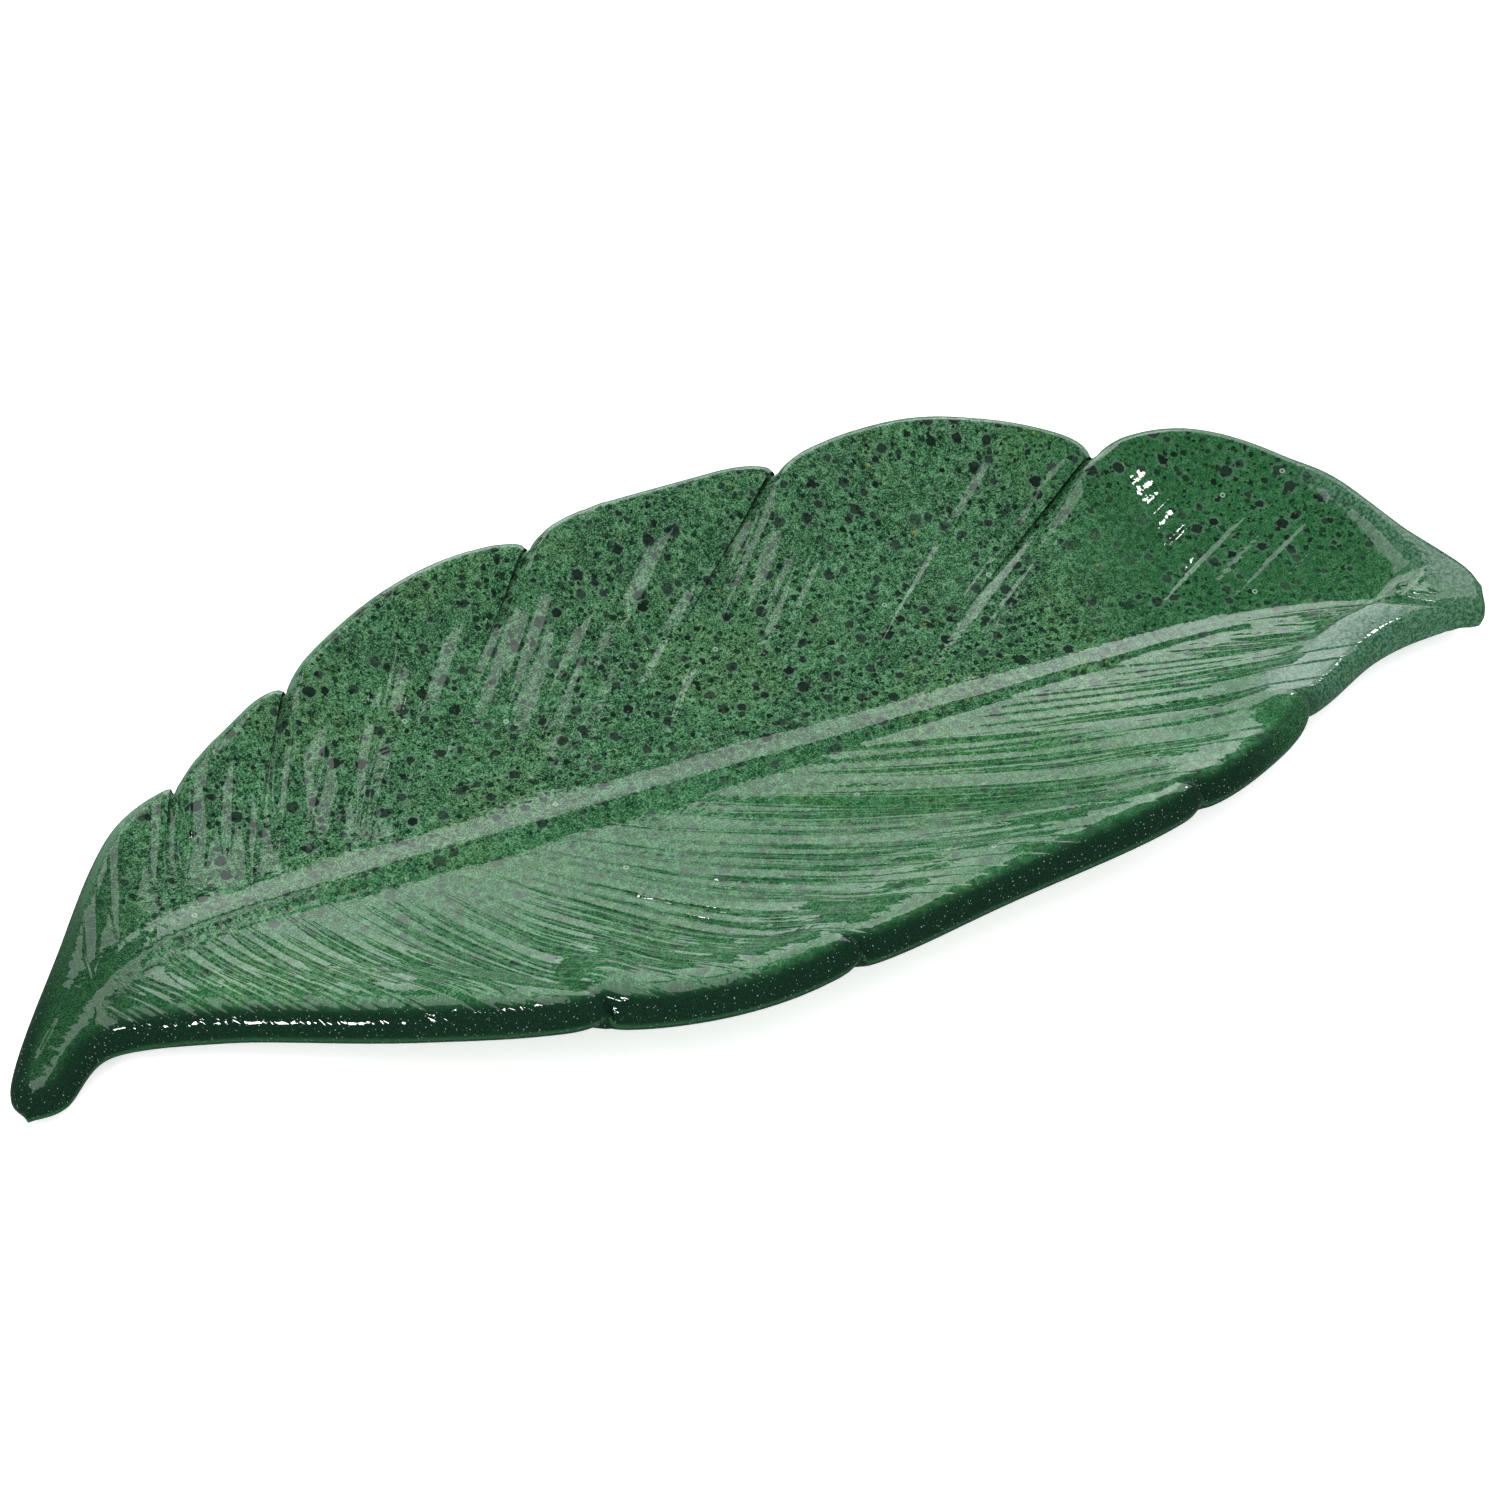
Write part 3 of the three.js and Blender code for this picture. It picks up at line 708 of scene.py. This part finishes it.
# Spots: spacing and radii in millimetres, share of the cells that have one, and width of the soft edge
SPOT_STRENGTHS = (0.7, 1.0)
SPECKS = [
    (1.9, (0.3, 0.7), 0.65, 0.25),
    (3.8, (0.4, 1.2), 0.75, 0.25),
    (8.0, (0.7, 2.0), 0.80, 0.25),
]
SPECK_HALO = (8.0, (1.4, 3.2), 0.75, 1.0)
OCHRE_FLECKS = (26.0, (0.2, 0.9), 0.40, 0.6)
SALT_GRAINS = (0.75, (0.06, 0.24), 0.55, 0.1)
FRONT_SPECKS = 0.45  # strength of the specks on the front half
PINHOLE_SPACING = 36
PINHOLE_RADIUS = 0.6
PINHOLE_LINE = (0.30, 0.15)  # distance from the ring's line, from none to full
PINHOLE_SHARE = 0.3

GLAZE_ROUGHNESS = 0.03
CLAY_ROUGHNESS = 0.85
GLAZE_IOR = 1.5
PEEL_DEPTH = 0.0002
PEEL_STRENGTH = 0.5


def spots(nodes, place, spacing, radii, chance, soft, flat=True):
    """Mask of round spots of random strength, at most one to a cell."""
    cells = nodes.cells(place, 1 / spacing, flat)
    draw = nodes.add("SeparateColor", {0: cells.outputs["Color"]}).outputs
    radius = nodes.ramp(draw[0], *radii)
    distance = nodes.times(cells.outputs["Distance"], spacing)
    mask = nodes.between(nodes.math("SUBTRACT", radius, distance), 0.0, soft)
    kept = nodes.math("LESS_THAN", draw[1], chance)
    return nodes.times(nodes.times(mask, kept), nodes.ramp(draw[2], *SPOT_STRENGTHS))


def pinholes(nodes, place):
    """Mask of a few tiny pale rings where a bubble broke in the glaze."""
    cells = nodes.cells(place, 1 / PINHOLE_SPACING)
    draw = nodes.add("SeparateColor", {0: cells.outputs["Color"]}).outputs
    distance = nodes.times(cells.outputs["Distance"], PINHOLE_SPACING)
    ring = nodes.math("ABSOLUTE", nodes.math("SUBTRACT", distance, PINHOLE_RADIUS))
    kept = nodes.math("LESS_THAN", draw[1], PINHOLE_SHARE)
    return nodes.times(nodes.between(ring, *PINHOLE_LINE), kept)


def wobbled(nodes, place):
    """Places moved a little by noise, so that spots are not quite round."""
    scale, detail, roughness = WOBBLE
    values = {"Vector": place, "Scale": scale, "Detail": detail, "Roughness": roughness}
    noise = nodes.add("TexNoise", values).outputs["Color"]
    centred = nodes.vector("SUBTRACT", {0: noise, 1: (NOISE_MIDDLE,) * 3})
    return nodes.vector("ADD", {0: place, 1: nodes.vector("SCALE", {0: centred, "Scale": WOBBLE_REACH})})


def ground(nodes, place, grain, back_half):
    """Green glaze that is dark and clear in places, with pale crystals grown through it."""
    cloud, drift, mottle = [nodes.noise(place, *noise) for noise in (CLOUD, DRIFT, MOTTLE)]
    light = nodes.blend(back_half, FRONT_PALE, PALE)
    dark = nodes.blend(back_half, FRONT_DEEP, DEEP)
    # Noise, its values from none to full, strength and paint
    coats = [
        (cloud, (0.43, 0.56), 1.00, MIDDLE),
        (drift, (0.52, 0.66), 0.50, OLIVE),
        (mottle, (0.50, 0.62), 0.60, light),
        (mottle, (0.50, 0.40), 0.90, dark),
        (grain, (0.50, 0.59), 0.65, light),
        (grain, (0.50, 0.42), 0.90, dark),
    ]
    colour = dark
    for noise, reach, strength, paint in coats:
        colour = nodes.coat(colour, paint, nodes.between(noise, *reach), strength)
    return colour


def specks(nodes, colour, place, lip, back_half):
    """Iron specks with ashy halos, thickest on the back half, with pinholes and ochre flecks."""
    wavy = wobbled(nodes, place)
    dense = nodes.between(nodes.noise(place, *DENSITY), none=0.26, full=0.50)
    share = nodes.ramp(nodes.times(dense, back_half), FRONT_SPECKS, 1.0)
    share = nodes.times(share, nodes.between(lip, none=0.90, full=0.55))
    halos = nodes.times(spots(nodes, wavy, *SPECK_HALO), share)
    colour = nodes.coat(colour, ASH, halos, strength=0.45)
    for size in SPECKS:
        colour = nodes.coat(colour, BLACK, spots(nodes, wavy, *size), share)
    colour = nodes.coat(colour, SALT, pinholes(nodes, place), strength=0.6)
    flecks = nodes.times(spots(nodes, wavy, *OCHRE_FLECKS), back_half)
    return nodes.coat(colour, OCHRE, flecks, strength=0.7)


def shaded_front_rim(nodes, place, lip, grain):
    """Colour of the front rim: painted shade over glaze with fine salt in it, and a greener line at the
    very edge that is a painted reflection of the floor.
    """
    colour = nodes.blend(nodes.between(grain, none=0.50, full=0.70), RIM_DARK, DEEP)
    colour = nodes.coat(colour, SALT, spots(nodes, place, *SALT_GRAINS, flat=False), strength=0.7)
    # painted reflection of the floor along the lowest edge of the rim
    return nodes.coat(colour, MIDDLE, nodes.between(lip, none=0.985, full=1.0), strength=0.5)


def glaze_material():
    nodes = NodeTree("green_glaze")
    place = nodes.millimetres()
    x, y, z = nodes.add("SeparateXYZ", {0: place}).outputs
    lip = nodes.attribute("lip")
    grain = nodes.noise(place, *GRAIN)
    back_half = nodes.between(y, *BACK_HALF_Y)
    front_half = nodes.math("SUBTRACT", 1.0, back_half)

    # Dish: the last lobe at the back is a darker, deeper green
    colour = ground(nodes, place, grain, back_half)
    last_lobe = nodes.times(nodes.between(x, *LAST_LOBE_X), back_half)
    colour = nodes.coat(colour, FRONT_DEEP, last_lobe, strength=0.6)
    colour = specks(nodes, colour, place, lip, back_half)

    # Creases and tip: painted shade darkens each lobe's start behind the end of the lobe before it, and the
    # tip's flat band is pale and mottled, its paleness a painted reflection
    colour = nodes.coat(colour, RIM_DARK, nodes.attribute("crease_shade"), strength=0.9)
    crystals = nodes.between(nodes.noise(place, *CRYSTALS), none=0.42, full=0.58)
    # painted reflection: the tip band's mottled glaze painted paler than the glaze around it
    band_glaze_and_sheen = nodes.blend(crystals, BAND_DEEP, BAND_PALE_SHEEN)
    colour = nodes.coat(colour, band_glaze_and_sheen, nodes.attribute("band"), strength=0.75)

    # Edges: a painted reflection just inside the back rim, plain dark green on the stem, painted shade over
    # the front rim
    fray = nodes.times(nodes.math("SUBTRACT", grain, NOISE_MIDDLE), RAGGEDNESS)
    ragged = nodes.math("ADD", lip, fray)
    inner_lip = nodes.between(lip, none=0.95, full=0.70)
    # painted reflection: a pale, frayed band just inside the back rim
    edge_reflection = nodes.times(nodes.between(ragged, none=0.10, full=0.60), inner_lip)
    colour = nodes.coat(colour, EDGE_REFLECTION, nodes.times(edge_reflection, back_half), strength=0.7)
    stem_colour = nodes.blend(nodes.between(grain, none=0.42, full=0.56), RIM_DARK, STEM_GREEN)
    colour = nodes.coat(colour, stem_colour, nodes.between(x, *STEM_X), strength=0.85)
    # painted shade over the front rim
    shaded_edge = nodes.times(nodes.between(ragged, none=0.15, full=0.65), front_half)
    shaded_edge = nodes.times(shaded_edge, nodes.between(x, *SHADED_RIM_X))
    colour = nodes.coat(colour, shaded_front_rim(nodes, place, lip, grain), shaded_edge)

    # Foot: the ring's underside is bare clay
    bare = nodes.between(z, *(FOOT_BASE + height for height in CLAY_HEIGHT))
    colour = nodes.coat(colour, CLAY, bare)

    nodes.shade("Base Color", colour)
    nodes.shade("Roughness", nodes.ramp(bare, GLAZE_ROUGHNESS, CLAY_ROUGHNESS))
    nodes.shade("IOR", GLAZE_IOR)
    peel = nodes.noise(place, *PEEL)
    bump = nodes.add("Bump", {"Strength": PEEL_STRENGTH, "Distance": PEEL_DEPTH, "Height": peel})
    nodes.shade("Normal", bump.outputs[0])
    return nodes.material


RUBBER_DARK = (0.045, 0.045, 0.043, 1)
RUBBER_LIGHT = (0.085, 0.085, 0.080, 1)
RUBBER_GRAIN = (6.0, 3.0, 0.5)
RUBBER_GRAIN_DEPTH = 0.00005
RUBBER_GRAIN_STRENGTH = 0.4
RUBBER_ROUGHNESS = 0.75


def rubber_material():
    nodes = NodeTree("grey_rubber")
    grain = nodes.noise(nodes.millimetres(), *RUBBER_GRAIN)
    nodes.shade("Base Color", nodes.blend(grain, RUBBER_DARK, RUBBER_LIGHT))
    nodes.shade("Roughness", RUBBER_ROUGHNESS)
    values = {"Strength": RUBBER_GRAIN_STRENGTH, "Distance": RUBBER_GRAIN_DEPTH, "Height": grain}
    nodes.shade("Normal", nodes.add("Bump", values).outputs[0])
    return nodes.material


# Stage, light and camera

FLOOR_REACH = 30  # metres each way
FLOOR_COLOUR = (0.86, 0.86, 0.86, 1)
FLOOR_ROUGHNESS = 0.9
FLOOR_GLOW = 0.6


def add_floor():
    mesh = bpy.data.meshes.new("floor")
    signs = [(-1, -1), (1, -1), (1, 1), (-1, 1)]
    mesh.from_pydata([(x * FLOOR_REACH, y * FLOOR_REACH, 0) for x, y in signs], [], [(0, 1, 2, 3)])
    floor = bpy.data.objects.new("floor", mesh)
    bpy.context.scene.collection.objects.link(floor)
    nodes = NodeTree("floor_paper")
    nodes.shade("Base Color", FLOOR_COLOUR)
    nodes.shade("Roughness", FLOOR_ROUGHNESS)
    nodes.shade("Emission Color", (1, 1, 1, 1))
    nodes.shade("Emission Strength", FLOOR_GLOW)
    floor.data.materials.append(nodes.material)
    floor.visible_glossy = False


def add_area_light(name, place, aim, size, power, in_gloss=True, colour=(1, 1, 1)):
    data = bpy.data.lights.new(name, "AREA")
    data.shape = "RECTANGLE"
    data.size, data.size_y = size
    data.energy = power
    data.color = colour
    light = bpy.data.objects.new(name, data)
    light.location = place
    light.rotation_mode = "QUATERNION"
    light.rotation_quaternion = (Vector(aim) - Vector(place)).to_track_quat("-Z", "Y")
    light.visible_camera = False
    light.visible_glossy = in_gloss
    bpy.context.scene.collection.objects.link(light)


def sky_place(side, elevation, distance):
    """A place seen from the dish; side is degrees to the right of straight behind, in the camera's view."""
    azimuth = math.radians(CAMERA_AZIMUTH - side)
    height = math.radians(elevation)
    level = distance * math.cos(height)
    return Vector((-math.sin(azimuth) * level, math.cos(azimuth) * level, distance * math.sin(height)))


PANEL_TINT = (0.93, 1.00, 0.97)

# The backdrop is a standing sheet of light behind the dish that shows in the front half and on the rib.
# Each row is a place across it, from left to right, its lower and upper edge, in metres, and its radiance.
BACKDROP_DISTANCE = 2.2
BACKDROP = [
    (-0.95, 0.40, 1.90, 3.0),
    (-0.62, 0.30, 2.58, 3.0),
    (-0.28, 0.55, 2.40, 2.5),
    (-0.03, 0.95, 2.25, 2.3),
    (0.29, 0.90, 2.10, 4.4),
    (0.55, 0.80, 2.07, 4.4),
    (0.64, 0.80, 2.12, 2.6),
    (0.70, 0.80, 2.35, 2.0),
    (1.70, 0.80, 2.40, 2.0),
]


def add_backdrop():
    corners = []
    radiances = []
    for across, low, high, radiance in BACKDROP:
        base = sky_place(0, 0, BACKDROP_DISTANCE) + sky_place(90, 0, across)
        corners += [base + Vector((0, 0, low)), base + Vector((0, 0, high))]
        radiances += [radiance, radiance]
    faces = [(k, k + 2, k + 3, k + 1) for k in range(0, len(corners) - 2, 2)]
    mesh = bpy.data.meshes.new("backdrop")
    mesh.from_pydata(corners, [], faces)
    mesh.attributes.new("radiance", "FLOAT", "POINT").data.foreach_set("value", radiances)
    backdrop = bpy.data.objects.new("backdrop", mesh)
    bpy.context.scene.collection.objects.link(backdrop)
    nodes = NodeTree("backdrop_light")
    nodes.shade("Base Color", (0, 0, 0, 1))
    nodes.shade("Emission Color", (*PANEL_TINT, 1))
    nodes.shade("Emission Strength", nodes.attribute("radiance"))
    mesh.materials.append(nodes.material)
    backdrop.visible_camera = False
    backdrop.visible_shadow = False


# The side panel shows in the facets of the back half that face the stem. It faces the dish's middle from
# behind and above, and is then slid to the left and up in its own plane, in metres and degrees.
PANEL_ELEVATION = 67
PANEL_DISTANCE = 2.0
PANEL_LEFT = 0.7
PANEL_UP = 0.3
PANEL_SIZE = (1.0, 1.4)
PANEL_POWER = 9.0

# The overhead light gives the even light and shows in no reflection. The softboxes make the white glints on
# the rim, in its first notch and on the last lobe. Each has a place, an aim, a size and a power.
OVERHEAD = ((0.0, -0.5, 2.6), (0, 0, 0), (6.0, 6.0), 190)
SOFTBOXES = {
    "rim_softbox": ((-0.834, -0.546, 0.399), (-0.15, -0.05, 0.02), (0.08, 0.12), 1.5),
    "notch_softbox": ((-0.367, -0.187, 0.516), (-0.07, -0.075, 0.02), (0.04, 0.04), 0.20),
    "lobe_softbox": ((0.281, 0.078, 0.182), (0.165, 0.055, 0.025), (0.02, 0.014), 0.025),
}
SKY_COLOUR = (0.30, 0.31, 0.32, 1)
SKY_STRENGTH = 0.35


def add_lights():
    aside = sky_place(-90, 0, PANEL_LEFT) + sky_place(180, 90 - PANEL_ELEVATION, PANEL_UP)
    place = sky_place(0, PANEL_ELEVATION, PANEL_DISTANCE) + aside
    add_area_light("side_panel", place, aside, PANEL_SIZE, PANEL_POWER, colour=PANEL_TINT)
    add_area_light("overhead", *OVERHEAD, in_gloss=False)
    for name, softbox in SOFTBOXES.items():
        add_area_light(name, *softbox)
    world = bpy.data.worlds.new("studio")
    world.use_nodes = True
    sky = world.node_tree.nodes["Background"]
    sky.inputs["Color"].default_value = SKY_COLOUR
    sky.inputs["Strength"].default_value = SKY_STRENGTH
    bpy.context.scene.world = world
    bpy.context.scene.view_settings.view_transform = "Standard"


def add_camera():
    azimuth, elevation = math.radians(CAMERA_AZIMUTH), math.radians(CAMERA_ELEVATION)
    level = math.cos(elevation)
    towards = Vector((math.sin(azimuth) * level, -math.cos(azimuth) * level, math.sin(elevation)))
    data = bpy.data.cameras.new("camera")
    data.sensor_width = SENSOR
    data.lens = SENSOR * CAMERA_DISTANCE / FRAME_WIDTH_AT_TARGET
    camera = bpy.data.objects.new("camera", data)
    camera.location = CAMERA_TARGET + towards * CAMERA_DISTANCE
    camera.rotation_mode = "QUATERNION"
    camera.rotation_quaternion = (-towards).to_track_quat("-Z", "Y")
    bpy.context.scene.collection.objects.link(camera)
    bpy.context.scene.camera = camera


# Making

add_camera()
add_lights()
add_backdrop()
add_floor()

leaf, leaf_shift = build_leaf()
join_foot(leaf, build_foot(leaf, leaf_shift))
leaf.data.materials.append(glaze_material())
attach(leaf, "root")
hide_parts("leaf_body")

rubber = rubber_material()
for name in ("pad_stem_back", "pad_stem_front", "pad_tip_back", "pad_tip_front"):
    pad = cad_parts[name]
    pad.data.materials.clear()
    pad.data.materials.append(rubber)
